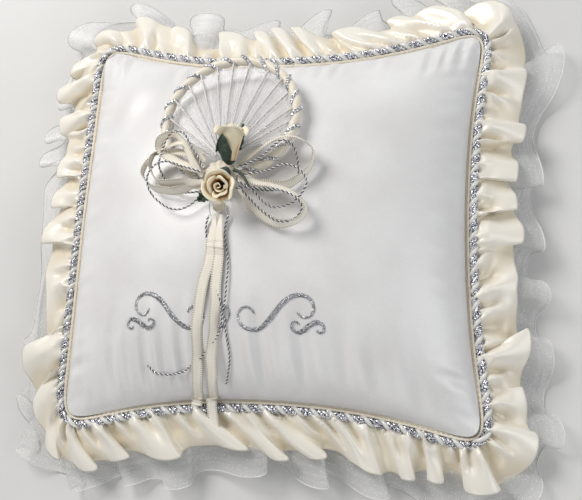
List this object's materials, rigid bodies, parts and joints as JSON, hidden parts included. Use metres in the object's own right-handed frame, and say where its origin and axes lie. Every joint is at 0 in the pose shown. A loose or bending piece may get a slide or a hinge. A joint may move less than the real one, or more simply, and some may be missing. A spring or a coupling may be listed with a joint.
{
  "type": "ring bearer pillow",
  "caption": "Square stuffed satin ring bearer pillow with a twisted edge cord, two gathered ruffles, and a tacked spray of a wound hoop, pleated fan, roses, and a ribbon bow with trailing ends.",
  "frame": {"origin": "centre of the flat on the pillow's back that it rests on", "axes": "+Z through the pillow's thickness towards its face, +Y towards its top side, where the hoop is, +X towards its right side"},
  "size_m": [0.3224, 0.3138, 0.1045],
  "materials": {
    "satin_white": "white satin with a soft sheen",
    "satin_ivory": "ivory satin, glossy along its folds",
    "cord_tape": "cream woven tape, matt",
    "fibre_fill": "loose white polyester fibre",
    "organza": "sheer white organza with a faint sparkle",
    "ribbon": "cream taffeta ribbon with picot edges",
    "silver_cord": "twisted silver lame thread",
    "edge_cord": "white rayon strand twisted with silver lame strands",
    "hoop_wood": "plain unfinished craft hoop",
    "paper_rose": "cream petals, brown in the folds",
    "leaf_green": "dark green leaf and floral tape, matt",
    "thread": "white sewing thread"
  },
  "bodies": {
    "pillow": {"front_panel": "satin_white", "back_panel": "satin_white", "filling": "fibre_fill", "cord_lip_tape": "cord_tape", "edge_cord": "edge_cord", "satin_ruffle": "satin_ivory", "organza_ruffle": "organza", "organza_hem_thread": "thread", "scroll_left_large": "silver_cord", "scroll_right_large": "silver_cord", "scroll_left_small": "silver_cord", "scroll_right_small": "silver_cord", "scroll_heart": "silver_cord", "tail_knot": "ribbon", "tack_stitch_left": "thread", "tack_stitch_right": "thread", "ribbon_tail_left": "ribbon", "ribbon_tail_right": "ribbon", "silver_tail_left": "silver_cord", "silver_tail_right": "silver_cord"},
    "spray": {"hoop_ring": "hoop_wood", "hoop_ribbon_wrap": "ribbon", "hoop_silver_winding": "silver_cord", "fan_pleats": "organza", "bow_loop_left_front": "ribbon", "bow_loop_left_back": "ribbon", "bow_loop_left_small": "ribbon", "bow_loop_right_upper": "ribbon", "bow_loop_right_lower": "ribbon", "silver_loop_left_lower": "silver_cord", "silver_loop_left_upper": "silver_cord", "silver_loop_right_upper": "silver_cord", "silver_loop_right_outer": "silver_cord", "silver_loop_right_lower": "silver_cord", "bow_centre": "ribbon", "floral_tape_binding": "leaf_green", "rose_stem_wire": "leaf_green", "bud_heart": "paper_rose", "bud_petal_front": "paper_rose", "bud_petal_left": "paper_rose", "bud_petal_right": "paper_rose", "bud_calyx": "leaf_green", "bud_sepal": "leaf_green", "bud_leaf_left": "leaf_green", "bud_leaf_right": "leaf_green", "rose_heart": "paper_rose", "rose_inner_petal_1": "paper_rose", "rose_inner_petal_2": "paper_rose", "rose_inner_petal_3": "paper_rose", "rose_outer_petal_1": "paper_rose", "rose_outer_petal_2": "paper_rose", "rose_outer_petal_3": "paper_rose", "rose_calyx": "leaf_green", "rose_leaf": "leaf_green"}
  },
  "joints": [
    {"name": "spray_lift", "type": "hinge", "parent": "pillow", "child": "spray", "pos_m": [-0.018, -0.008, 0.075], "axis": [1, 0, 0], "range_deg": [0, 25]}
  ]
}
